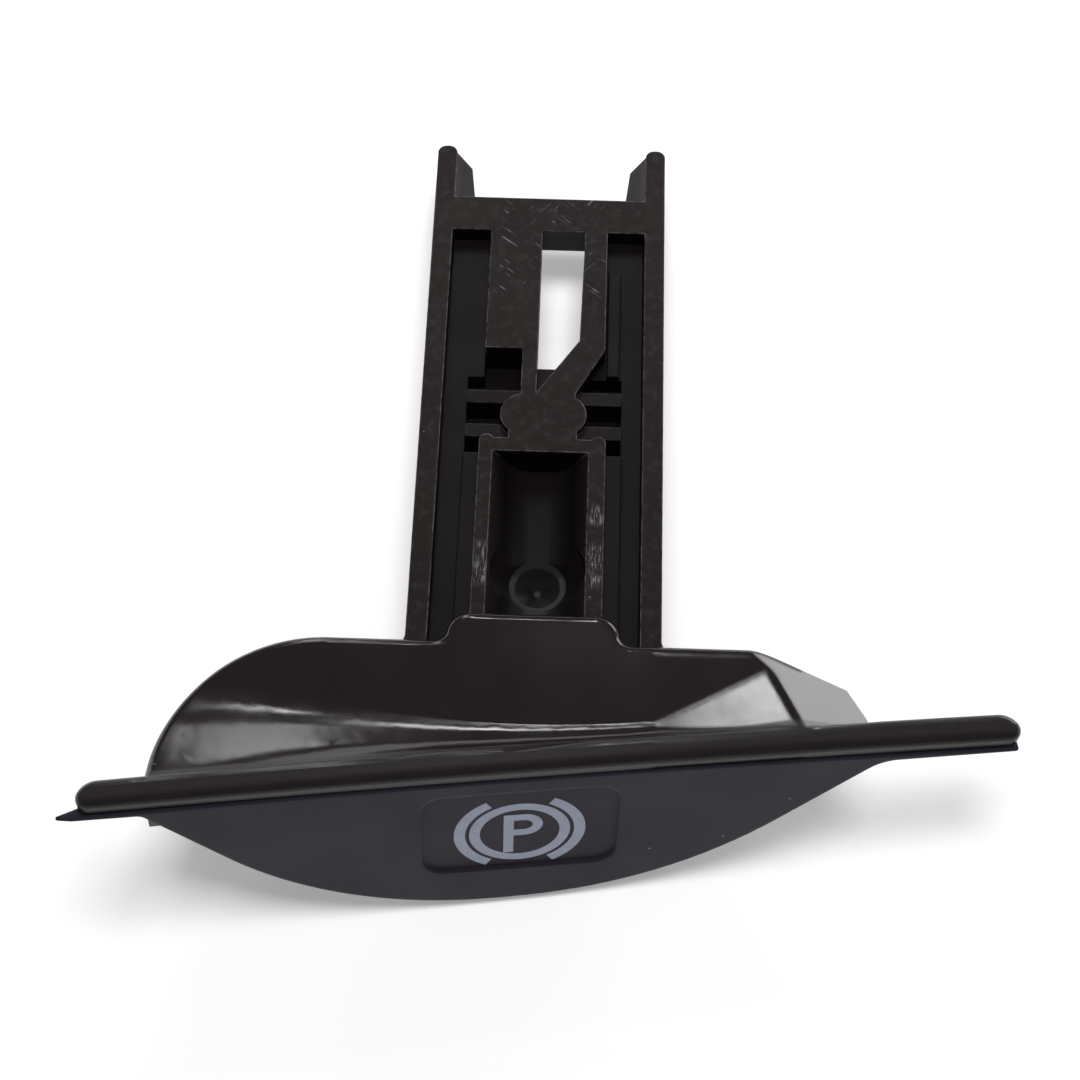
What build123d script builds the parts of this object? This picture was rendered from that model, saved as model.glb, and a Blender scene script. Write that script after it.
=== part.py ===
from build123d import *
import os
from math import atan2, cos, degrees, radians, sin, sqrt, tan

# Pull handle of a parking brake, as it lies on a table. It is drawn in the stem's own frame: X to the
# right, Y along the stem away from the grip, Z up, Z = 0 at the tops of the stem's ribs and Y = 0 where
# the stem comes out from under the tab. At the end the handle is laid down on its lip and the two feet
# of its stem. All sizes are in millimetres, angles in degrees.

os.makedirs("parts", exist_ok=True)

# stem: an H-shaped channel
stem_width = 32.0
stem_length = 76.1
wall_height = 12.0
wall_tip = 2.7            # side wall at its free edges
wall_draft = 3.0          # slope of the walls' inner faces, from the mould
web_top = 2.6             # depth of the web's upper face below the ribs' tops
web_thickness = 1.8
ear_corner = 1.2
ear_foot_round = 3.0
ear_web_root = 3.0        # sloping webs inside the ears: width at the crossbar and at the ears' ends
ear_web_tip = 2.1
ear_web_slant = 1.6
root_start = -5.0         # here the walls begin to deepen towards the lip
root_end = -17.0
root_depth = 8.0
root_round = 6.0
guide_step = 0.4          # under the roof the walls stand back by this much
root_fillet = 1.5

# crossbar, block, window, arm and boss at the stem's far end
middle_x = 0.2            # trough, frame and boss stand this far off the stem's middle
crossbar_near = 61.5
crossbar_width = 5.6
block_left = -7.9
block_length = 19.7
thin_rib = 2.05
window_left = -0.85
window_right = 4.7
window_lean = 0.4         # the arm leans outwards by this much at the crossbar
arm_width = 3.45
arm_bend_left = 43.2
arm_bend_right = 41.8
arm_root = 34.7           # here the arm and the thin rib meet the boss
arm_root_right = 4.4
lobe_radius = 3.2
lobe_spacing = 5.0
boss_y = 31.3
boss_neck = 9.0

# spring trough and what stands beside it
trough_half = 6.3
trough_ledge_half = 4.7
trough_ledge_depth = 2.2
trough_floor_half = 3.4
trough_depth = 5.2
trough_floor_round = 3.5
trough_length = 25.5
trough_hidden = 7.0       # how far the trough runs on under the tab
frame_wall = 2.0
frame_corner = 1.0
corner_boss = 1.0         # small round bosses at the frame's two far corners
tub_floor = 2.2           # material under the trough
seat_radius = 6.1         # round seat of the spring's end, sunk into the trough's sides
seat_foot_radius = 3.7
seat_step = 1.8           # from this depth down the seat narrows
seat_y = 8.2
dimple_radius = 2.9
dimple_tip_radius = 0.5
dimple_depth = 1.4
dimple_y = 7.9
rail_width = 2.1
rail_drop = 1.6           # the rails' tops below the ribs' tops
upper_rail_end = 55.8
upper_rail_width = 1.6
bar_width = 2.0
bar_drop = 1.2
bar_places = (29.3, 34.65)
pockets_near = 26.1
pockets_far = 38.6
pockets_half = 10.25
pockets_right_start = 4.0
pan_wall = 1.6            # wall round the pockets, under the web

# grip: its rim and cover are turned against the stem to suit a slanted dashboard
grip_yaw = 7.5
grip_roll = 2.0
face_tilt = 9.8
grip_x = 0.9
grip_y = -22.4
grip_z = 3.0

# roof of the grip
roof_thickness = 2.2
skirt_depth = 2.8
skirt_wall = 2.2
roof_edge_round = 1.2
shell_back = -3.4
shell_left = 45.3
shell_right = 42.5
left_corner_round = 20.0
right_back_x = 27.3
right_shoulder = (38.9, -7.6)
right_side = (41.2, -12.0)
right_back_round = 5.0
right_side_round = 1.5
tab_reach = 0.6
tab_tip_width = 20.6
tab_root_width = 22.2
tab_corner = 3.0
tab_root_round = 1.5
sweeps = ((-52.0, 15.5), (-24.0, 9.0), (4.0, 3.4), (28.0, 3.0), (52.0, 2.6))
sweep_groove = 0.7        # groove between the sweep and the top of the rim
sweep_lap = 0.2
facet_start = (17.2, -13.2)
ridge_top = (29.2, -6.5)
ridge_foot = (32.6, -14.3)
ridge_rise = 1.6
ridge_round = 3.0
outer_slope = 24.0

# rim, slightly bowed
rim_left = 54.3
rim_right = 59.6
rim_depth = 3.7
rim_setback = 0.2         # the rim stands back behind the cover's face
rim_height = 2.6
rim_peak = 2.0
rim_sag = 1.35            # the rim's ends hang this much lower than its middle
rim_keel = 3.4            # reach of the rim's bar behind the cover's strip
rim_corner = 2.8
rim_front_corner = 1.4
rim_round = 1.2

# lip behind the cover
lip_thickness = 1.7
lip_head = 1.0            # the lip ends this far below the rim's middle
gusset_leg = 8.5
gusset_width = 1.6
gusset_places = (-33.5, -24.0, 24.5, 30.5)

# cover
cover_thickness = 2.0
lip_depth = 26.7
left_flank_x = 48.4
left_flank_slope = 48.5
left_lip_round = 42.0
right_flank_x = 44.4
right_flank_slope = 43.5
right_lip_round = 48.0
left_shoulder_round = 1.2
right_shoulder_round = 5.0
strip_depth = 1.9         # lower edge of the strip under the rim's ends
strip_left = 56.6         # on the left the strip reaches out from under the rim
strip_right = 59.2
strip_taper = 1.8
strip_round = 0.3
strip_tip = 0.6           # the strip's left end thins down to this
strip_tip_length = 4.0
joint_gap = 0.15
fit_gap = 0.1
cover_flange = 1.5
cover_edge_round = 0.2
flange_start = 4.0
label_width = 24.2
label_height = 16.8
label_corner = 3.0
label_depth = 0.45
label_x = -1.6
label_y = -11.2
peg_diameter = 2.4
peg_places = ((-30.0, -9.0), (19.0, -9.0), (-12.0, -22.0), (7.0, -22.0))

half_stem = stem_width / 2
inner = half_stem - wall_tip
inside_wall = half_stem - wall_tip / 2
web_foot = web_top + web_thickness
crossbar_far = crossbar_near + crossbar_width
frame_half = trough_half + frame_wall
tub_depth = trough_depth + tub_floor
window_near = pockets_far + pan_wall
lip_inset = cover_flange + fit_gap
far = stem_length + wall_height
front = grip_y - lip_depth
tall = 2 * (roof_thickness + ridge_rise)

# planes of the grip: one lies flat at the rim's lower front edge, the other is the cover's front
grip_plane = Plane(Location((grip_x, grip_y, grip_z), (0, grip_roll, grip_yaw)))
face_normal = grip_plane.y_dir * -cos(radians(face_tilt)) + grip_plane.z_dir * sin(radians(face_tilt))
face_plane = Plane(origin=grip_plane.origin, x_dir=grip_plane.x_dir, z_dir=face_normal)
back_plane = face_plane.offset(-cover_thickness)


def across(y):
    """Plane square to the stem at y: X to the right, Y up, facing the grip."""
    return Plane(origin=(0, y, 0), x_dir=(1, 0, 0), z_dir=(0, -1, 0))


def along(x):
    """Plane of the side view at x: X along the stem, Y up."""
    return Plane(origin=(x, 0, 0), x_dir=(0, 1, 0), z_dir=(1, 0, 0))


def upper_half(depth):
    """Half width of the channel above the web."""
    return half_stem - wall_tip - depth * tan(radians(wall_draft))


def lower_half(depth):
    """Half width of the channel below the web."""
    return half_stem - wall_tip - (wall_height - depth) * tan(radians(wall_draft))


def lip_y(x, z):
    """Where the middle of the lip's thickness lies along the stem, at x and z."""
    d = cover_thickness + lip_thickness / 2 + face_normal.X * (x - grip_x) + face_normal.Z * (z - grip_z)
    return grip_y - d / face_normal.Y


def joint(u):
    """Height of the joint between rim and cover, at u along the rim."""
    return -rim_sag * ((u - rim_peak) / rim_right) ** 2


def left_flank(inset, v):
    run = inset / sin(radians(left_flank_slope)) - v / tan(radians(left_flank_slope))
    return run - left_flank_x


def right_flank(inset, v):
    run = inset / sin(radians(right_flank_slope)) - v / tan(radians(right_flank_slope))
    return right_flank_x - run


def lip_outline(inset, head_v):
    """Outline of the lip, set in from the cover's edge and cut off straight at head_v."""
    foot_v = inset - lip_depth
    FilletPolyline(
        (left_flank(inset, head_v), head_v), (left_flank(inset, foot_v), foot_v),
        (right_flank(inset, foot_v), foot_v), (right_flank(inset, head_v), head_v),
        radius=(0, left_lip_round - inset, right_lip_round - inset, 0), close=True)


# stem: the side view, less the channels above and below the web
with BuildPart() as stem:
    with BuildSketch(along(0)):
        with BuildLine():
            FilletPolyline(
                (front, 0), (stem_length, 0), (stem_length, -wall_height), (root_start, -wall_height),
                (root_end, -wall_height - root_depth), (front, -wall_height - root_depth),
                radius=(0, 0, ear_foot_round, root_round, root_round, 0), close=True)
        make_face()
    extrude(amount=half_stem, both=True)
    with BuildSketch(Plane.XY):
        with BuildLine():
            FilletPolyline(
                (-half_stem, front), (-half_stem, stem_length), (-inner, stem_length), (-inner, crossbar_far),
                (inner, crossbar_far), (inner, stem_length), (half_stem, stem_length), (half_stem, front),
                radius=(0, ear_corner, ear_corner, 0, 0, ear_corner, ear_corner, 0), close=True)
        make_face()
    extrude(amount=-wall_height - root_depth, mode=Mode.INTERSECT)
    with BuildSketch(across(far)):
        with BuildLine():
            Polyline((-upper_half(0), 0), (upper_half(0), 0), (upper_half(web_top), -web_top),
                     (-upper_half(web_top), -web_top), close=True)
        make_face()
    extrude(amount=far + trough_hidden, mode=Mode.SUBTRACT)
    pit = wall_height + root_depth
    with BuildSketch(across(far)):
        with BuildLine():
            Polyline((-lower_half(web_foot), -web_foot), (lower_half(web_foot), -web_foot),
                     (lower_half(pit), -pit), (-lower_half(pit), -pit), close=True)
        make_face()
    extrude(amount=far - front, mode=Mode.SUBTRACT)
    # open ends: past the crossbar, and under the roof in front of the trough
    with BuildSketch(across(far)):
        with BuildLine():
            Polyline((-upper_half(web_top), -web_top), (upper_half(web_top), -web_top),
                     (lower_half(web_foot), -web_foot), (-lower_half(web_foot), -web_foot), close=True)
        make_face()
    extrude(amount=far - crossbar_far, mode=Mode.SUBTRACT)
    with BuildSketch(across(-trough_hidden - web_thickness)):
        with BuildLine():
            Polyline((-lower_half(web_foot), 0), (lower_half(web_foot), 0),
                     (lower_half(web_foot), -web_foot), (-lower_half(web_foot), -web_foot), close=True)
        make_face()
    extrude(amount=-front, mode=Mode.SUBTRACT)
    # outer faces stand back under the roof, which leaves a clean guide face on each side
    for side in (-1, 1):
        with BuildSketch(across(shell_back + root_fillet)):
            with Locations((side * half_stem, -pit / 2)):
                Rectangle(2 * guide_step, 2 * pit)
        extrude(amount=-front, mode=Mode.SUBTRACT)
    split(bisect_by=face_plane.offset(-cover_thickness - lip_thickness / 2), keep=Keep.BOTTOM)

# sloping webs between the ears and the crossbar
with BuildPart() as ear_webs:
    with BuildSketch(across(stem_length)):
        with BuildLine():
            Polyline((inside_wall, 0), (inner, 0), (inner - ear_web_root, -web_foot),
                     (inside_wall, -web_foot), close=True)
        make_face()
    extrude(amount=stem_length - crossbar_near)
    with BuildSketch(Plane.XY):
        with BuildLine():
            Polyline((inside_wall, crossbar_near), (inner - ear_web_root, crossbar_near),
                     (inner - ear_web_root, crossbar_far), (inner - ear_web_tip, stem_length - ear_web_slant),
                     (inner, stem_length - ear_corner), (inside_wall, stem_length - ear_corner), close=True)
        make_face()
    extrude(amount=-web_foot, mode=Mode.INTERSECT)
    mirror(about=Plane.YZ)

# plan of the boss with the thin rib and the arm that run to it
block_near = crossbar_near - block_length
with BuildSketch(Plane.XY) as boss_plan:
    with Locations((window_left, boss_y)):
        Rectangle(thin_rib, block_near + thin_rib - boss_y, align=(Align.MAX, Align.MIN))
    with BuildLine():
        Polyline((window_right + window_lean, crossbar_near), (window_right + arm_width, crossbar_near),
                 (window_right + arm_width, arm_bend_right), (arm_root_right, arm_root),
                 (window_left, arm_root), (window_right, arm_bend_left), close=True)
    make_face()
    with BuildLine():
        Polyline((window_left - thin_rib, arm_root), (arm_root_right, arm_root), (arm_root_right, boss_y),
                 (window_left - thin_rib, boss_y), close=True)
    make_face()
    with Locations((middle_x - lobe_spacing / 2, boss_y), (middle_x + lobe_spacing / 2, boss_y)):
        Circle(lobe_radius)
    with Locations((middle_x, boss_y)):
        Rectangle(boss_neck, boss_y - trough_length, align=(Align.CENTER, Align.MAX))

# plan of the frame round the spring trough
with BuildSketch(Plane.XY) as frame_plan:
    frame_end = trough_length + frame_wall
    with BuildLine():
        FilletPolyline(
            (middle_x - frame_half, -trough_hidden - web_thickness), (middle_x - frame_half, frame_end),
            (middle_x + frame_half, frame_end), (middle_x + frame_half, -trough_hidden - web_thickness),
            radius=(0, frame_corner, frame_corner, 0), close=True)
    make_face()
    with Locations((middle_x - frame_half + corner_boss, frame_end - corner_boss / 2),
                   (middle_x + frame_half - corner_boss, frame_end - corner_boss / 2)):
        Circle(corner_boss)

# crossbar, solid block, arm, thin rib, boss and frame, all level with the walls' tops
with BuildPart() as ribs:
    with BuildSketch(Plane.XY):
        with Locations((0, crossbar_near)):
            Rectangle(2 * inside_wall, crossbar_width, align=(Align.CENTER, Align.MIN))
        with Locations((block_left, block_near)):
            Rectangle(window_left - block_left, block_length, align=(Align.MIN, Align.MIN))
        add(boss_plan.sketch)
    extrude(amount=-web_foot)
    add(frame_plan.sketch)
    extrude(amount=-tub_depth)
    # rails beside the trough, and one on the right beside the arm
    with BuildSketch(Plane.XY.offset(-rail_drop)):
        for side in (-1, 1):
            with Locations((middle_x + side * (frame_half + rail_width / 2), -trough_hidden)):
                Rectangle(rail_width, pockets_near + trough_hidden, align=(Align.CENTER, Align.MIN))
        with Locations((middle_x + frame_half, pockets_far)):
            Rectangle(upper_rail_width, upper_rail_end - pockets_far, align=(Align.MIN, Align.MIN))
    extrude(amount=rail_drop - web_foot)
    # pan with two rows of blind pockets beside the boss, and bars between them
    with BuildSketch(Plane.XY.offset(-web_top)):
        with Locations((middle_x, pockets_near - pan_wall)):
            Rectangle(2 * (pockets_half + pan_wall), pockets_far - pockets_near + 2 * pan_wall,
                      align=(Align.CENTER, Align.MIN))
        with Locations((block_left - pan_wall, pockets_far)):
            Rectangle(window_left - thin_rib - block_left + 2 * pan_wall, block_near - pockets_far + pan_wall,
                      align=(Align.MIN, Align.MIN))
    extrude(amount=web_top - tub_depth)

with BuildPart() as pockets:
    with BuildSketch(Plane.XY.offset(-web_top)):
        with BuildLine():
            Polyline((middle_x - pockets_half, pockets_near), (window_left - thin_rib, pockets_near),
                     (window_left - thin_rib, block_near), (block_left, block_near),
                     (block_left, pockets_far), (middle_x - pockets_half, pockets_far), close=True)
        make_face()
        with BuildLine():
            Polyline((pockets_right_start, pockets_near), (middle_x + pockets_half, pockets_near),
                     (middle_x + pockets_half, pockets_far), (pockets_right_start, pockets_far), close=True)
        make_face()
        add(boss_plan.sketch, mode=Mode.SUBTRACT)
        add(frame_plan.sketch, mode=Mode.SUBTRACT)
    extrude(amount=web_top - trough_depth)

with BuildPart() as bars:
    with BuildSketch(Plane.XY.offset(-bar_drop)):
        for place in bar_places:
            with Locations((middle_x, place)):
                Rectangle(2 * pockets_half, bar_width)
    extrude(amount=bar_drop - tub_depth)

# roof: a shallow tray upside down, with a tab over the stem
with BuildSketch(Plane.XY.offset(-skirt_depth)) as roof_outline:
    with BuildLine():
        FilletPolyline(
            (-shell_left, front), (-shell_left, shell_back), (right_back_x, shell_back), right_shoulder,
            right_side, (shell_right, front),
            radius=(0, left_corner_round, right_back_round, 0, right_side_round, 0), close=True)
    make_face()

with BuildSketch(Plane.XY) as roof_plan:
    with BuildLine():
        FilletPolyline(
            (-shell_left, front), (-shell_left, shell_back), (-tab_root_width / 2, shell_back),
            (-tab_tip_width / 2, tab_reach), (tab_tip_width / 2, tab_reach), (tab_root_width / 2, shell_back),
            (right_back_x, shell_back), right_shoulder, right_side, (shell_right, front),
            radius=(0, left_corner_round, tab_root_round, tab_corner, tab_corner, tab_root_round,
                    right_back_round, 0, right_side_round, 0), close=True)
    make_face()

# the right end rises in a facet to a ridge, and falls away outside it
crest = Vector(*ridge_top, roof_thickness)
foot = Vector(*ridge_foot, roof_thickness + ridge_rise)
start = Vector(*facet_start, roof_thickness)
facet_plane = Plane(origin=crest, x_dir=start - crest, z_dir=(start - crest).cross(foot - crest))
ridge = foot - crest
outward = Vector(-ridge.Y, ridge.X, 0).normalized()
fall = outward * cos(radians(outer_slope)) - Vector(0, 0, sin(radians(outer_slope)))
outer_plane = Plane(origin=crest, x_dir=ridge, z_dir=ridge.cross(fall))


def roof_level(u, w):
    """Height of the roof's upper face in the grip's frame, at u along the rim and w behind it."""
    below = grip_plane.origin + grip_plane.x_dir * u + grip_plane.y_dir * w
    return (roof_thickness - below.Z) / grip_plane.z_dir.Z


def roof_section(u, length):
    """Section of the roof across the rim at u: level behind, then a hollow sweep up to the rim."""
    section = Plane(origin=grip_plane.origin + grip_plane.x_dir * u, x_dir=grip_plane.y_dir,
                    z_dir=grip_plane.x_dir)
    tail = rim_depth + length
    back = tab_reach - front
    nose = rim_depth - sweep_lap
    head = rim_height + joint(u) - sweep_groove
    under = roof_level(u, tail) - 2 * roof_thickness
    with BuildSketch(section) as made:
        with BuildLine():
            Line((back, roof_level(u, back)), (tail, roof_level(u, tail)))
            TangentArc((tail, roof_level(u, tail)), (nose, head),
                       tangent=(tail - back, roof_level(u, tail) - roof_level(u, back)))
            Polyline((nose, head), (nose, under), (back, under), (back, roof_level(u, back)))
        make_face()
    return made.sketch


with BuildPart() as roof_hollow:
    with BuildSketch(Plane.XY):
        offset(roof_outline.sketch, amount=-skirt_wall)
    extrude(amount=tall)
    split(bisect_by=facet_plane.offset(-roof_thickness), keep=Keep.BOTTOM)
    with BuildSketch(Plane.XY.offset(-skirt_depth)):
        offset(roof_outline.sketch, amount=-skirt_wall)
    extrude(amount=skirt_depth)
    split(bisect_by=outer_plane.offset(-skirt_wall), keep=Keep.BOTTOM)

with BuildPart() as facet:
    with BuildSketch(Plane.XY):
        offset(roof_plan.sketch, amount=-roof_edge_round)
    extrude(amount=tall)
    split(bisect_by=facet_plane, keep=Keep.BOTTOM)
    split(bisect_by=outer_plane, keep=Keep.BOTTOM)

with BuildPart() as shell:
    loft([roof_section(u, length) for u, length in sweeps])
    add(roof_plan.sketch)
    extrude(amount=tall, mode=Mode.INTERSECT)
    add(roof_outline.sketch)
    extrude(amount=skirt_depth)
    border = roof_plan.sketch.face().outer_wire()
    edge = shell.edges().filter_by(
        lambda e: min((e @ 0).Z, (e @ 1).Z) > roof_thickness - fit_gap
        and border.distance_to(Vertex((e @ 0.5).X, (e @ 0.5).Y, 0)) < fit_gap / 10)
    fillet(edge.filter_by(lambda e: max((e @ 0).X, (e @ 1).X) < right_shoulder[0] + fit_gap), radius=roof_edge_round)
    add(facet.part)
    split(bisect_by=outer_plane, keep=Keep.BOTTOM)
    split(bisect_by=back_plane, keep=Keep.BOTTOM)
    ridge_line = shell.edges().filter_by(lambda e: abs(outer_plane.to_local_coords(e @ 0.5).Z) < fit_gap / 10)
    ridge_line = ridge_line.filter_by(lambda e: abs(facet_plane.to_local_coords(e @ 0.5).Z) < fit_gap / 10)
    fillet(ridge_line, radius=ridge_round)
    with BuildSketch(Plane.XY.offset(-skirt_depth)):
        with Locations((0, shell_back)):
            Rectangle(2 * inside_wall, 3 * skirt_wall)
    extrude(amount=skirt_depth, mode=Mode.SUBTRACT)
    add(roof_hollow.part, mode=Mode.SUBTRACT)
    # fillets in the corners between the roof and the stem's sides
    with BuildSketch(Plane.XY.offset(-skirt_depth)):
        for side in (-1, 1):
            with Locations((side * (inside_wall + half_stem + root_fillet) / 2, shell_back)):
                Rectangle(half_stem + root_fillet - inside_wall, root_fillet, align=(Align.CENTER, Align.MIN))
        with Locations((-half_stem - root_fillet, shell_back + root_fillet),
                       (half_stem + root_fillet, shell_back + root_fillet)):
            Circle(root_fillet, mode=Mode.SUBTRACT)
    extrude(amount=skirt_depth)

# lip behind the cover, with holes for the cover's pegs
with BuildPart() as lip:
    with BuildSketch(back_plane):
        with BuildLine():
            lip_outline(lip_inset, -lip_head)
        make_face()
        with Locations(*peg_places):
            Circle(peg_diameter / 2 + fit_gap, mode=Mode.SUBTRACT)
    extrude(amount=-lip_thickness)

# corner gussets between the roof and the lip
with BuildPart() as gussets:
    for x in gusset_places:
        with BuildSketch(along(x)):
            with BuildLine():
                Polyline((lip_y(x, 0), roof_thickness / 2), (lip_y(x, 0) + gusset_leg, roof_thickness / 2),
                         (lip_y(x, 0) + gusset_leg, 0), (lip_y(x, -gusset_leg), -gusset_leg), close=True)
            make_face()
        extrude(amount=gusset_width / 2, both=True)


# rim: a bowed bar, seen here from the front; the cover's strip stands in a step under it
front_view = Plane(origin=grip_plane.origin, x_dir=grip_plane.x_dir, z_dir=-grip_plane.y_dir)
with BuildPart() as strip_room:
    with BuildSketch(front_view.offset(rim_depth)):
        with BuildLine():
            ThreePointArc((-rim_right, joint(-rim_right)), (rim_peak, 0), (rim_right, joint(rim_right)))
            Polyline((rim_right, joint(rim_right)), (rim_right, -2 * rim_keel), (-rim_right, -2 * rim_keel),
                     (-rim_right, joint(-rim_right)))
        make_face()
    extrude(amount=-2 * rim_depth)
    split(bisect_by=back_plane, keep=Keep.TOP)

with BuildPart() as rim:
    with BuildSketch(front_view.offset(-rim_setback)):
        with BuildLine():
            ThreePointArc((-rim_left, joint(-rim_left) + rim_height), (rim_peak, rim_height),
                          (rim_right, joint(rim_right) + rim_height))
            Polyline((rim_right, joint(rim_right) + rim_height), (rim_right, -rim_keel),
                     (-rim_left, -rim_keel), (-rim_left, joint(-rim_left) + rim_height))
        make_face()
    extrude(amount=rim_setback - rim_depth)
    upright = rim.edges().filter_by(Axis(grip_plane.origin, grip_plane.z_dir))
    upright = upright.sort_by(Axis(grip_plane.origin, grip_plane.y_dir))
    fillet(upright[-2:], radius=rim_corner)
    fillet(upright[:2], radius=rim_front_corner)
    fillet(rim.faces().sort_by(Axis(grip_plane.origin, grip_plane.z_dir))[-1].edges(), radius=rim_round)
    add(strip_room.part, mode=Mode.SUBTRACT)

# everything behind the cover is one moulding
with BuildPart() as handle_moulding:
    add(shell.part)
    add(gussets.part)
    add(stem.part)
    # rebate for the cover's flange
    with BuildSketch(back_plane):
        with BuildLine():
            lip_outline(-fit_gap, fit_gap - flange_start)
        make_face()
        with BuildLine():
            lip_outline(lip_inset, -lip_head)
        make_face(mode=Mode.SUBTRACT)
    extrude(amount=-lip_thickness - fit_gap, mode=Mode.SUBTRACT)
    add(lip.part)
    add(rim.part)
    add(ear_webs.part)
    add(ribs.part)
    add(pockets.part, mode=Mode.SUBTRACT)
    add(bars.part)
    # trough with sloping sides, a round seat and a conical dimple in its floor, running on under the tab
    with BuildSketch(across(trough_length)):
        with Locations((middle_x, 0)):
            with BuildLine():
                FilletPolyline(
                    (-trough_half, 0), (-trough_ledge_half, -trough_ledge_depth),
                    (-trough_floor_half, -trough_depth), (trough_floor_half, -trough_depth),
                    (trough_ledge_half, -trough_ledge_depth), (trough_half, 0),
                    radius=(0, trough_floor_round, trough_floor_round, trough_floor_round,
                            trough_floor_round, 0), close=True)
            make_face()
    extrude(amount=trough_length + trough_hidden, mode=Mode.SUBTRACT)
    with Locations((middle_x, seat_y, -seat_step)):
        Cylinder(seat_radius, seat_step, align=(Align.CENTER, Align.CENTER, Align.MIN), mode=Mode.SUBTRACT)
        Cone(seat_foot_radius, seat_radius, trough_depth - seat_step,
             align=(Align.CENTER, Align.CENTER, Align.MAX), mode=Mode.SUBTRACT)
    with Locations((middle_x, dimple_y, -trough_depth)):
        Cone(dimple_radius, dimple_tip_radius, dimple_depth, rotation=(180, 0, 0),
             align=(Align.CENTER, Align.CENTER, Align.MIN), mode=Mode.SUBTRACT)
    # window through the web between the thin rib and the arm
    with BuildSketch(Plane.XY):
        with Locations((window_left, window_near)):
            Rectangle(window_right + arm_width / 2 - window_left, crossbar_near - window_near,
                      align=(Align.MIN, Align.MIN))
        add(boss_plan.sketch, mode=Mode.SUBTRACT)
    extrude(amount=-pit, mode=Mode.SUBTRACT)

# cover: a matte plate with a strip under the rim, wrapped round the edge of the lip
with BuildPart() as front_cover:
    with BuildSketch(face_plane):
        left_top = joint(-strip_left) - joint_gap
        right_top = joint(strip_right) - joint_gap
        with BuildLine():
            FilletPolyline(
                (-strip_left, left_top), (strip_taper - strip_left, -strip_depth),
                (left_flank(0, -strip_depth), -strip_depth), (left_flank(0, -lip_depth), -lip_depth),
                (right_flank(0, -lip_depth), -lip_depth), (right_flank(0, -strip_depth), -strip_depth),
                (strip_right, -strip_depth), (strip_right, right_top),
                radius=(strip_round, left_shoulder_round, left_lip_round, right_lip_round,
                        right_shoulder_round, strip_round))
            ThreePointArc((strip_right, right_top), (rim_peak, -joint_gap), (-strip_left, left_top))
        make_face()
    extrude(amount=-cover_thickness)
    # the strip's left end is thinned from behind
    with BuildSketch(Plane(origin=face_plane.origin, x_dir=face_plane.x_dir, z_dir=-face_plane.y_dir)):
        with BuildLine():
            Polyline((-strip_left, -strip_tip), (strip_tip_length - strip_left, -cover_thickness),
                     (-strip_left - strip_tip_length, -cover_thickness), (-strip_left - strip_tip_length, -strip_tip),
                     close=True)
        make_face()
    extrude(amount=2 * strip_depth, mode=Mode.SUBTRACT)
    with BuildSketch(back_plane):
        with BuildLine():
            lip_outline(0, -flange_start)
        make_face()
        with BuildLine():
            lip_outline(cover_flange, 0)
        make_face(mode=Mode.SUBTRACT)
    extrude(amount=-lip_thickness)
    with BuildSketch(back_plane):
        with Locations(*peg_places):
            Circle(peg_diameter / 2)
    extrude(amount=-lip_thickness)
    face = front_cover.faces().sort_by(Axis(face_plane.origin, face_plane.z_dir))[-1]
    fillet(face.edges(), radius=cover_edge_round)
    with BuildSketch(face_plane):
        with Locations((label_x, label_y)):
            RectangleRounded(label_width, label_height, label_corner)
    extrude(amount=-label_depth, mode=Mode.SUBTRACT)

# the handle rests on the lip's rear edge and on the stem's two feet
lip_rear = cover_thickness + lip_thickness
touch = grip_plane.origin - face_plane.y_dir * lip_depth - face_plane.z_dir * lip_rear
pitch = degrees(atan2(-wall_height - touch.Z, stem_length - ear_foot_round - touch.Y))
laid = Location((0, 0, 0), (-pitch, 0, 0))
box = Compound([handle_moulding.part.moved(laid), front_cover.part.moved(laid)]).bounding_box()
rest = Location((-box.center().X, -box.center().Y, -box.min.Z)) * laid

for piece, name in ((handle_moulding, "handle_moulding"), (front_cover, "front_cover")):
    placed = piece.part.moved(rest)
    placed.label = name
    export_step(placed, "parts/" + name + ".step")
print("pitch", round(pitch, 2), "size", [round(v, 2) for v in box.size], "moved by", rest.position)
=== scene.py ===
import bpy
import bmesh
from math import cos, pi, radians, sin
from mathutils import Matrix, Vector


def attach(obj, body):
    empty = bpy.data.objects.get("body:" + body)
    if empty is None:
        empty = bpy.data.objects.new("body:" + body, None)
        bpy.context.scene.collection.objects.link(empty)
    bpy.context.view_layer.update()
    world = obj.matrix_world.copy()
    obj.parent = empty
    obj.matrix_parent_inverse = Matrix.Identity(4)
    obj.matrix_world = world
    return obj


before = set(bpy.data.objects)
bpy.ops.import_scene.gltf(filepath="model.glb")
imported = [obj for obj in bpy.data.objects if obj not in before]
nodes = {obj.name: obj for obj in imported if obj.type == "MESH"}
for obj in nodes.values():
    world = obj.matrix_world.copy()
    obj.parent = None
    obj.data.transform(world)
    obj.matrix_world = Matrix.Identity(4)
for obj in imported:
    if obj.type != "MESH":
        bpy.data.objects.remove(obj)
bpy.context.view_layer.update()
scene = bpy.context.scene
MM = 0.001

# the stem's own frame (X right, Y along the stem, Z up, in mm) lies in the part's frame pitched, then moved
PITCH = 7.05
MOVED = (-2.150, -22.092, 20.909)
# the cover's front face in the stem's frame: origin (mm), turn, roll and tilt (degrees)
FACE_ORIGIN = (0.9, -22.4, 3.0)
GRIP_YAW, GRIP_ROLL, FACE_TILT = 7.5, 2.0, 9.8

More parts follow.
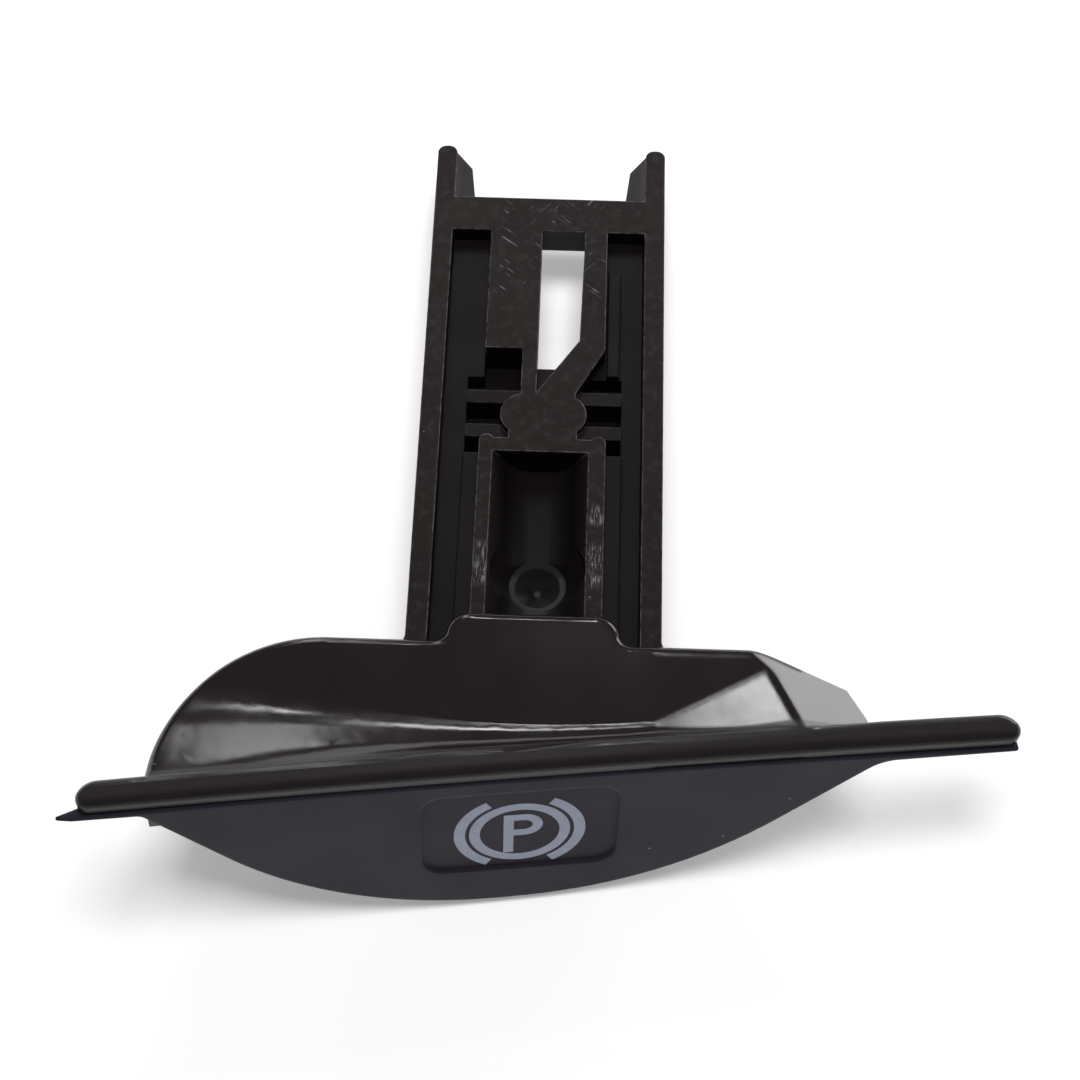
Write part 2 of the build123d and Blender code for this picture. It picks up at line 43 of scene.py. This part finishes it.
# where the moulding's finishes change, in the stem's frame (mm)
ROOF_BACK, ROOF_FOOT = -3.7, -3.2
TAB_BACK, TAB_FOOT = 0.8, 0.15
TOPS_END, DEEP_START = -0.5, -1.5
RIBS_TOP = (-0.12, 0.12)
SPRING_POCKET_X, SPRING_POCKET_Y = (-4.6, 5.0), (0.9, 9.5)
FRAME_MIDDLE = 0.2
FRAME_WALL = (6.5, 8.1)
RUBBED_Y = (5.6, 11.4)
RUBBED_SPOT_X, RUBBED_SPOT_Y = (6.0, 8.6), (14.6, 17.4)
SCRATCHED_X, SCRATCHED_Y = (-7.0, 9.5), (50.0, 67.5)
CREASED_X = (15.0, 33.0)
# the same, measured forwards from the cover's face; the last value is well in front of the rim
RIM_BACK, RIM_FRONT, PAST_RIM = -4.1, -0.75, 3.0

# the printed parking-brake sign (mm, degrees)
SIGN_CENTRE = (-1.6, -12.1)
RING_OUTER, RING_INNER = 6.25, 4.94
BRACKET_OUTER, BRACKET_INNER, BRACKET_HALF = 8.15, 6.75, 59.0
LETTER_LEFT, LETTER_TOP, LETTER_FOOT, LETTER_STROKE = -2.0, 3.85, -4.45, 1.25
BOWL_RIGHT, BOWL_FOOT = 2.84, -0.7
ARC_STEP = 4
RECESS_DEPTH = 0.45
INK = 0.03
INK_LIFT = 0.005

# table (m), the world's light, and how much brighter the table is to the eye than its light makes it
TABLE_HALF = 3.0
LIT_REACH, WHITE_FROM = 0.3, 1.0
WORLD_LEVEL = 0.15
TABLE_LIFT = 0.25

# name, degrees to the right of straight behind, elevation, distance, width and height (m), radiance
OVERHEAD = ("overhead", 20, 86, 0.95, 0.34, 0.34, 17.5)
LAMPS = (
    ("window_left", -11, 22, 1.0, 0.11, 0.46, 4.2),
    ("window_middle", -2.8, 40, 1.0, 0.075, 0.10, 18.0),
    ("window_right", 33, 10, 1.0, 0.4, 0.26, 6.0),
    ("lamp", 1.5, 50, 1.1, 0.09, 0.035, 32.0),
    ("lamp_left", -12, 46, 1.1, 0.025, 0.025, 60.0),
)

# camera: place (m), turn (degrees) and lens (mm)
CAMERA_PLACE = (0.001617, -0.124956, 0.290880)
CAMERA_TURN = (22.953, -0.081, 1.876)
CAMERA_LENS, CAMERA_SENSOR = 77.02, 36

stem_to_part = Matrix.Translation(Vector(MOVED)) @ Matrix.Rotation(radians(-PITCH), 4, "X")


def face_matrix():
    """Turns points on the cover's face (right, up, out; mm) into the part's frame (mm)."""
    turn = Matrix.Rotation(radians(GRIP_ROLL), 4, "Y") @ Matrix.Rotation(radians(GRIP_YAW), 4, "Z")
    right, back, up = (turn.col[i].to_3d() for i in range(3))
    out = -back * cos(radians(FACE_TILT)) + up * sin(radians(FACE_TILT))
    rise = out.cross(right)
    m = Matrix((right, rise, out)).transposed().to_4x4()
    return stem_to_part @ Matrix.Translation(Vector(FACE_ORIGIN)) @ m


def linear(hex_colour):
    """sRGB hex to linear RGBA."""
    rgb = [int(hex_colour[i:i + 2], 16) / 255 for i in (1, 3, 5)]
    return [c / 12.92 if c <= 0.04045 else ((c + 0.055) / 1.055) ** 2.4 for c in rgb] + [1.0]


def add(tree, kind, inputs=None, output=0, **settings):
    """Adds a shader node, with its settings and its inputs set or linked, and gives one of its outputs."""
    n = tree.nodes.new("ShaderNode" + kind)
    for key, value in settings.items():
        setattr(n, key, value)
    for key, value in (inputs or {}).items():
        if isinstance(value, bpy.types.NodeSocket):
            tree.links.new(value, n.inputs[key])
        else:
            n.inputs[key].default_value = value
    return n.outputs[output]


def material(name):
    """A material with one Principled surface, its node tree and that surface node."""
    m = bpy.data.materials.new(name)
    m.use_nodes = True
    tree = m.node_tree
    tree.nodes.clear()
    surface = add(tree, "BsdfPrincipled").node
    end = tree.nodes.new("ShaderNodeOutputMaterial")
    tree.links.new(surface.outputs[0], end.inputs[0])
    return m, tree, surface


def between(tree, value, low, high, soft=0.15, most=1.0):
    """Gives most where value lies from low to high, falling off to 0 over soft at both ends."""
    rise = add(tree, "MapRange", {"Value": value, "From Min": low - soft, "From Max": low + soft, "To Max": most})
    return add(tree, "MapRange", {"Value": value, "From Min": high - soft, "From Max": high + soft,
                                  "To Min": rise, "To Max": 0.0})


def dust(tree, p, every, radius, most):
    """Specks of dust: about one in three cells, every so many millimetres, holds a speck of that radius."""
    spot = add(tree, "TexVoronoi", {"Vector": p, "Scale": 1 / every, "Randomness": 1.0})
    chance = add(tree, "SeparateXYZ", {0: spot.node.outputs["Color"]})
    held = add(tree, "Math", {0: chance, 1: 0.68}, operation="GREATER_THAN")
    held = add(tree, "Math", {0: held, 1: most}, operation="MULTIPLY")
    return add(tree, "MapRange", {"Value": spot, "From Min": radius / every, "From Max": 0.5 * radius / every,
                                  "To Max": held})


def moulding_material():
    """Injection-moulded black ABS. The roof, tab and rim of the grip come from a polished mould and mirror the
    lamps; the stem is satin, with edges rubbed pale and scratches where it slides in its guide, and its recesses are
    painted darker as shade."""
    m, tree, surface = material("moulded_black_abs")
    coord = add(tree, "TexCoord", output="Object")
    mm = add(tree, "VectorMath", {0: coord, "Scale": 1 / MM}, operation="SCALE")
    moved = add(tree, "VectorMath", {0: mm, 1: MOVED}, operation="SUBTRACT")
    p = add(tree, "VectorRotate", {"Vector": moved, "Angle": radians(PITCH)}, rotation_type="X_AXIS")
    x = add(tree, "SeparateXYZ", {0: p})
    y, z = x.node.outputs[1], x.node.outputs[2]

    # the polished parts lie in front of the stem and above the lip
    polished = 0.0
    for back, foot in ((ROOF_BACK, ROOF_FOOT), (TAB_BACK, TAB_FOOT)):
        before = add(tree, "Math", {0: y, 1: back}, operation="LESS_THAN")
        above = add(tree, "Math", {0: z, 1: foot}, operation="GREATER_THAN")
        both = add(tree, "Math", {0: before, 1: above}, operation="MULTIPLY")
        polished = add(tree, "Math", {0: both, 1: polished}, operation="MAXIMUM")
    # the rim is a bar along the cover's face; this is how far a point lies in front of that face
    face = face_matrix()
    out = face.col[2].to_3d()
    ahead = add(tree, "VectorMath", {0: mm, 1: out}, output="Value", operation="DOT_PRODUCT")
    ahead = add(tree, "Math", {0: ahead, 1: out.dot(face.translation)}, operation="SUBTRACT")
    rim = between(tree, ahead, RIM_BACK, PAST_RIM, 0.2, most=polished)
    rim_front = between(tree, ahead, RIM_FRONT, PAST_RIM, 0.25, most=polished)
    # below the ribs' tops the colour is painted darker and the sheen lower, as shade in the recesses; the spring's
    # grease lies in the near end of its trough
    deep = add(tree, "MapRange", {"Value": z, "From Min": TOPS_END, "From Max": DEEP_START})
    pocket = between(tree, y, *SPRING_POCKET_Y, 0.5)
    pocket = between(tree, x, *SPRING_POCKET_X, 0.3, most=pocket)
    greasy = add(tree, "Math", {0: pocket, 1: deep}, operation="MULTIPLY")

    # gloss: a cloudy change every 9 mm, from the mould's wear and from fingers
    cloud = add(tree, "TexNoise", {"Vector": p, "Scale": 1 / 9.0, "Detail": 4.0, "Roughness": 0.6})
    satin = add(tree, "MapRange", {"Value": cloud, "From Min": 0.3, "From Max": 0.7, "To Min": 0.42, "To Max": 0.50})
    satin = add(tree, "Mix", {0: greasy, 2: satin, 3: 0.35})
    gloss = add(tree, "MapRange", {"Value": cloud, "From Min": 0.3, "From Max": 0.7, "To Min": 0.10, "To Max": 0.17})
    gloss = add(tree, "Mix", {0: rim, 2: gloss, 3: 0.27})
    rough = add(tree, "Mix", {0: polished, 2: satin, 3: gloss})
    low_sheen = add(tree, "MapRange", {"Value": pocket, "To Min": 0.17, "To Max": 0.4})
    sheen = add(tree, "Mix", {0: deep, 2: 0.2, 3: low_sheen})
    sheen = add(tree, "Mix", {0: polished, 2: sheen, 3: 0.5})
    sheen = add(tree, "Mix", {0: rim_front, 2: sheen, 3: 0.15})

    # colour: warm black, mottled every 1.4 mm on the satin tops; hands have worn the rim a little greyer, and that
    # lighter grey also paints in the rim's soft sheen
    mottle = add(tree, "TexNoise", {"Vector": p, "Scale": 1 / 1.4, "Detail": 6.0, "Roughness": 0.65})
    plain = add(tree, "MixRGB", {"Fac": mottle, "Color1": linear("#17100F"), "Color2": linear("#1F1716")})
    # below the ribs' tops a darker black: painted shade in the recesses
    plain = add(tree, "MixRGB", {"Fac": deep, "Color1": plain, "Color2": linear("#120F10")})
    glossy = add(tree, "MixRGB", {"Fac": rim, "Color1": linear("#191214"), "Color2": linear("#231F21")})
    colour = add(tree, "MixRGB", {"Fac": polished, "Color1": plain, "Color2": glossy})

    # edges of the stem's tops, 0.28 mm wide, rubbed pale in places
    rounded = add(tree, "Bevel", {"Radius": 0.28 * MM}, samples=8)
    true = add(tree, "NewGeometry", output="Normal")
    turn = add(tree, "VectorMath", {0: rounded, 1: true}, output="Value", operation="DOT_PRODUCT")
    chips = add(tree, "TexNoise", {"Vector": p, "Scale": 1 / 1.25, "Detail": 6.0, "Roughness": 0.7})
    edge = add(tree, "MapRange", {"Value": chips, "From Min": 0.38, "From Max": 0.58, "To Max": 0.4})
    edge = add(tree, "MapRange", {"Value": deep, "To Min": edge, "To Max": 0.0})
    edge = add(tree, "MapRange", {"Value": polished, "To Min": edge, "To Max": 0.0})
    edge = add(tree, "MapRange", {"Value": turn, "From Min": 0.998, "From Max": 0.93, "To Max": edge})
    # rubs along the stem on the trough's frame, 0.2 mm wide and about 2 mm long
    side = add(tree, "Math", {0: x, 1: FRAME_MIDDLE}, operation="SUBTRACT")
    side = add(tree, "Math", {0: side}, operation="ABSOLUTE")
    near = between(tree, y, *RUBBED_Y, 0.8)
    spot = between(tree, y, *RUBBED_SPOT_Y, 0.4)
    spot = between(tree, x, *RUBBED_SPOT_X, most=spot)
    rubbed = add(tree, "Math", {0: near, 1: spot}, operation="MAXIMUM")
    rubbed = between(tree, side, *FRAME_WALL, 0.2, most=rubbed)
    rubbed = between(tree, z, *RIBS_TOP, 0.02, most=rubbed)
    along = add(tree, "VectorMath", {0: p, 1: (1 / 0.2, 0.55, 1.0)}, operation="MULTIPLY")
    streak = add(tree, "TexNoise", {"Vector": along, "Scale": 1.0, "Detail": 7.0, "Roughness": 0.75})
    rubbed = add(tree, "MapRange", {"Value": streak, "From Min": 0.5, "From Max": 0.68, "To Max": rubbed})
    # scratches in patches 4.5 mm apart, two ways across the crossbar, the block and the arm
    patch = add(tree, "TexNoise", {"Vector": p, "Scale": 1 / 4.5, "Detail": 3.0})
    bar = between(tree, y, *SCRATCHED_Y, 0.5, most=0.6)
    bar = between(tree, x, *SCRATCHED_X, 0.5, most=bar)
    bar = between(tree, z, *RIBS_TOP, 0.02, most=bar)
    scratched = 0.0
    for angle, low, high in ((38, 0.5, 0.56), (-52, 0.46, 0.4)):
        turned = add(tree, "VectorRotate", {"Vector": p, "Angle": radians(angle)}, rotation_type="Z_AXIS")
        drawn = add(tree, "VectorMath", {0: turned, 1: (0.28, 4.5, 1.0)}, operation="MULTIPLY")
        lines = add(tree, "TexNoise", {"Vector": drawn, "Scale": 1.0, "Detail": 2.0})
        where = add(tree, "MapRange", {"Value": patch, "From Min": low, "From Max": high, "To Max": bar})
        thin = add(tree, "MapRange", {"Value": lines, "From Min": 0.64, "From Max": 0.7, "To Max": where})
        scratched = add(tree, "Math", {0: thin, 1: scratched}, operation="MAXIMUM")
    # a haze of fine wear on the tops, and dust on all
    worn = between(tree, z, *RIBS_TOP, 0.02, most=0.06)
    haze = add(tree, "MapRange", {"Value": mottle, "From Min": 0.5, "From Max": 0.8, "To Max": worn})
    pale = dust(tree, p, 3.6, 0.16, 0.5)
    for mark in (edge, rubbed, scratched, haze):
        pale = add(tree, "Math", {0: mark, 1: pale}, operation="MAXIMUM")
    colour = add(tree, "MixRGB", {"Fac": pale, "Color1": colour, "Color2": linear("#9A989A")})

    # the satin grain is finer than the render shows, so it is drawn 0.45 mm coarse; the edges catch light
    grain = add(tree, "TexNoise", {"Vector": p, "Scale": 1 / 0.45, "Detail": 5.0, "Roughness": 0.65})
    satin_normal = add(tree, "Bump", {"Strength": 0.3, "Distance": 0.06 * MM, "Height": grain, "Normal": rounded})
    # the polished grip waves slightly every 6 mm, and its creases at the right end are 1.2 mm soft
    wave = add(tree, "TexNoise", {"Vector": p, "Scale": 1 / 6.0, "Detail": 1.0})
    crease = add(tree, "Bevel", {"Radius": 1.2 * MM}, samples=12)
    creased = between(tree, x, *CREASED_X, 0.5)
    smooth = add(tree, "Mix", {0: creased, 4: true, 5: crease}, output=1, data_type="VECTOR")
    gloss_normal = add(tree, "Bump", {"Strength": 0.25, "Distance": 0.1 * MM, "Height": wave, "Normal": smooth})
    normal = add(tree, "Mix", {0: polished, 4: satin_normal, 5: gloss_normal}, output=1, data_type="VECTOR")

    tree.links.new(colour, surface.inputs["Base Color"])
    tree.links.new(rough, surface.inputs["Roughness"])
    tree.links.new(sheen, surface.inputs["Specular IOR Level"])
    tree.links.new(normal, surface.inputs["Normal"])
    surface.inputs["IOR"].default_value = 1.52
    return m


def cover_material():
    """Dark grey ABS from a spark-eroded mould: its fine matte grain gives a soft even sheen, with dust on it."""
    m, tree, surface = material("grained_dark_grey_abs")
    coord = add(tree, "TexCoord", output="Object")
    p = add(tree, "VectorMath", {0: coord, "Scale": 1 / MM}, operation="SCALE")
    # the real grain is about 0.1 mm, drawn at 0.25 mm to show
    grain = add(tree, "TexNoise", {"Vector": p, "Scale": 1 / 0.25, "Detail": 4.0, "Roughness": 0.6})
    cloud = add(tree, "TexNoise", {"Vector": p, "Scale": 1 / 12.5, "Detail": 3.0})
    colour = add(tree, "MixRGB", {"Fac": grain, "Color1": linear("#24202A"), "Color2": linear("#2B2731")})
    colour = add(tree, "MixRGB", {"Fac": dust(tree, p, 4.5, 0.2, 0.6), "Color1": colour,
                                  "Color2": linear("#9C9A9E")})
    rough = add(tree, "MapRange", {"Value": cloud, "From Min": 0.3, "From Max": 0.7, "To Min": 0.48, "To Max": 0.58})
    rounded = add(tree, "Bevel", {"Radius": 0.7 * MM}, samples=8)
    bump = add(tree, "Bump", {"Strength": 0.3, "Distance": 0.04 * MM, "Height": grain, "Normal": rounded})
    tree.links.new(colour, surface.inputs["Base Color"])
    tree.links.new(rough, surface.inputs["Roughness"])
    tree.links.new(bump, surface.inputs["Normal"])
    surface.inputs["IOR"].default_value = 1.5
    surface.inputs["Specular IOR Level"].default_value = 0.2
    return m


def print_material():
    """Pad-printed light blue-grey ink: thinner every 1.6 mm or so, with tiny worn specks of the cover in it."""
    m, tree, surface = material("pad_printed_blue_grey_ink")
    coord = add(tree, "TexCoord", output="Object")
    p = add(tree, "VectorMath", {0: coord, "Scale": 1 / MM}, operation="SCALE")
    specks = add(tree, "TexNoise", {"Vector": p, "Scale": 1 / 0.45, "Detail": 5.0, "Roughness": 0.7})
    worn = add(tree, "MapRange", {"Value": specks, "From Min": 0.33, "From Max": 0.29})
    thin = add(tree, "TexNoise", {"Vector": p, "Scale": 1 / 1.6, "Detail": 3.0})
    ink = add(tree, "MixRGB", {"Fac": thin, "Color1": linear("#98A1B5"), "Color2": linear("#B4BCCE")})
    colour = add(tree, "MixRGB", {"Fac": worn, "Color1": ink, "Color2": linear("#35343A")})
    tree.links.new(colour, surface.inputs["Base Color"])
    surface.inputs["Roughness"].default_value = 0.5
    return m


def piece(name, bm, mat):
    """Makes an object of a finished bmesh."""
    mesh = bpy.data.meshes.new(name)
    bm.to_mesh(mesh)
    bm.free()
    mesh.materials.append(mat)
    ob = bpy.data.objects.new(name, mesh)
    scene.collection.objects.link(ob)
    return ob


def turned_band(bm, inner, outer, start, turn, centre=(0.0, 0.0)):
    """A flat band between two radii, spun about centre from start by turn (degrees); gives its two end edges."""
    way = Vector((cos(radians(start)), sin(radians(start)), 0))
    middle = Vector((*centre, 0))
    a, b = bm.verts.new(middle + way * inner), bm.verts.new(middle + way * outer)
    edge = bm.edges.new((a, b))
    made = bmesh.ops.spin(bm, geom=[a, b, edge], cent=middle, axis=(0, 0, 1), dvec=(0, 0, 0), angle=radians(turn),
                          steps=int(abs(turn) / ARC_STEP), use_merge=abs(turn) == 360)
    return edge, [e for e in made["geom_last"] if isinstance(e, bmesh.types.BMEdge)]


def run_edges(bm, edges, move):
    """Draws edges out into a flat band by move."""
    made = bmesh.ops.extrude_edge_only(bm, edges=edges)
    bmesh.ops.translate(bm, vec=move, verts=[v for v in made["geom"] if isinstance(v, bmesh.types.BMVert)])


def sign():
    """The round (P) parking-brake sign: ring, two brackets and the letter, as a thin layer of ink."""
    bm = bmesh.new()
    turned_band(bm, RING_INNER, RING_OUTER, 0, 360)
    for middle in (0, 180):
        turned_band(bm, BRACKET_INNER, BRACKET_OUTER, middle - BRACKET_HALF, 2 * BRACKET_HALF)
    bowl = (LETTER_TOP - BOWL_FOOT) / 2
    bend = BOWL_RIGHT - bowl
    straight = (LETTER_LEFT + LETTER_STROKE - bend, 0, 0)
    first, last = turned_band(bm, bowl - LETTER_STROKE, bowl, 90, -180, (bend, LETTER_TOP - bowl))
    run_edges(bm, [first], straight)
    run_edges(bm, last, straight)
    a = bm.verts.new((LETTER_LEFT, LETTER_TOP, 0))
    b = bm.verts.new((LETTER_LEFT + LETTER_STROKE, LETTER_TOP, 0))
    run_edges(bm, [bm.edges.new((a, b))], (0, LETTER_FOOT - LETTER_TOP, 0))
    made = bmesh.ops.extrude_face_region(bm, geom=bm.faces[:])
    bmesh.ops.translate(bm, verts=[v for v in made["geom"] if isinstance(v, bmesh.types.BMVert)], vec=(0, 0, INK))
    bmesh.ops.recalc_face_normals(bm, faces=bm.faces)
    place = face_matrix() @ Matrix.Translation((SIGN_CENTRE[0], SIGN_CENTRE[1], INK_LIFT - RECESS_DEPTH))
    bmesh.ops.transform(bm, matrix=Matrix.Scale(MM, 4) @ place, verts=bm.verts)
    ob = piece("parking_brake_sign", bm, print_material())
    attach(ob, "root")


def dress(name, mat):
    """Gives a CAD node its material."""
    ob = nodes[name]
    ob.data.materials.clear()
    ob.data.materials.append(mat)


def table_material():
    """Matt white lacquered board: takes soft shadows, and is plain white to the eye where it lies open."""
    m, tree, surface = material("lacquered_white_board")
    path = add(tree, "LightPath").node
    seen = path.outputs["Is Camera Ray"]
    for kind in ("Is Glossy Ray", "Is Transmission Ray"):
        seen = add(tree, "Math", {0: seen, 1: path.outputs[kind]}, operation="MAXIMUM")
    # far out, where the lamps don't reach, it stays white to the eye
    coord = add(tree, "TexCoord", output="Object")
    far = add(tree, "VectorMath", {0: coord}, output="Value", operation="LENGTH")
    lift = add(tree, "MapRange", {"Value": far, "From Min": LIT_REACH, "From Max": WHITE_FROM,
                                  "To Min": TABLE_LIFT, "To Max": 1.0})
    lift = add(tree, "Math", {0: seen, 1: lift}, operation="MULTIPLY")
    surface.inputs["Base Color"].default_value = linear("#F4F2F3")
    surface.inputs["Roughness"].default_value = 0.7
    surface.inputs["Specular IOR Level"].default_value = 0.1
    surface.inputs["Emission Color"].default_value = (1, 1, 1, 1)
    tree.links.new(lift, surface.inputs["Emission Strength"])
    return m


def floor():
    """The table that the handle lies on."""
    bm = bmesh.new()
    bmesh.ops.create_grid(bm, x_segments=1, y_segments=1, size=TABLE_HALF)
    piece("floor", bm, table_material())


def softbox(name, azimuth, elevation, distance, width, height, radiance):
    """A rectangular light that faces the part, azimuth degrees to the right of straight behind it."""
    data = bpy.data.lights.new(name, "AREA")
    data.shape = "RECTANGLE"
    data.size, data.size_y = width, height
    data.energy = radiance * pi * width * height
    ob = bpy.data.objects.new(name, data)
    a, e = radians(azimuth), radians(elevation)
    ob.location = Vector((sin(a) * cos(e), cos(a) * cos(e), sin(e))) * distance
    ob.rotation_euler = (-ob.location).to_track_quat("-Z", "Y").to_euler()
    scene.collection.objects.link(ob)
    return ob


def lights():
    """A soft light from above, which the gloss doesn't mirror, windows and lamps behind, and a weak world that is
    white to the eye."""
    world = bpy.data.worlds.new("studio")
    world.use_nodes = True
    tree = world.node_tree
    background = tree.nodes["Background"]
    background.inputs["Color"].default_value = (1, 1, 1, 1)
    seen = add(tree, "LightPath", output="Is Camera Ray")
    strength = add(tree, "MapRange", {"Value": seen, "To Min": WORLD_LEVEL, "To Max": 1.0})
    tree.links.new(strength, background.inputs["Strength"])
    scene.world = world
    softbox(*OVERHEAD).visible_glossy = False
    for lamp in LAMPS:
        softbox(*lamp)


def camera():
    """The photograph's viewing angle."""
    data = bpy.data.cameras.new("camera")
    data.lens = CAMERA_LENS
    data.sensor_width = CAMERA_SENSOR
    data.clip_start, data.clip_end = 0.01, 20
    ob = bpy.data.objects.new("camera", data)
    ob.location = CAMERA_PLACE
    ob.rotation_euler = [radians(a) for a in CAMERA_TURN]
    scene.collection.objects.link(ob)
    scene.camera = ob


scene.view_settings.view_transform = "Standard"
dress("handle_moulding", moulding_material())
dress("front_cover", cover_material())
sign()
floor()
lights()
camera()
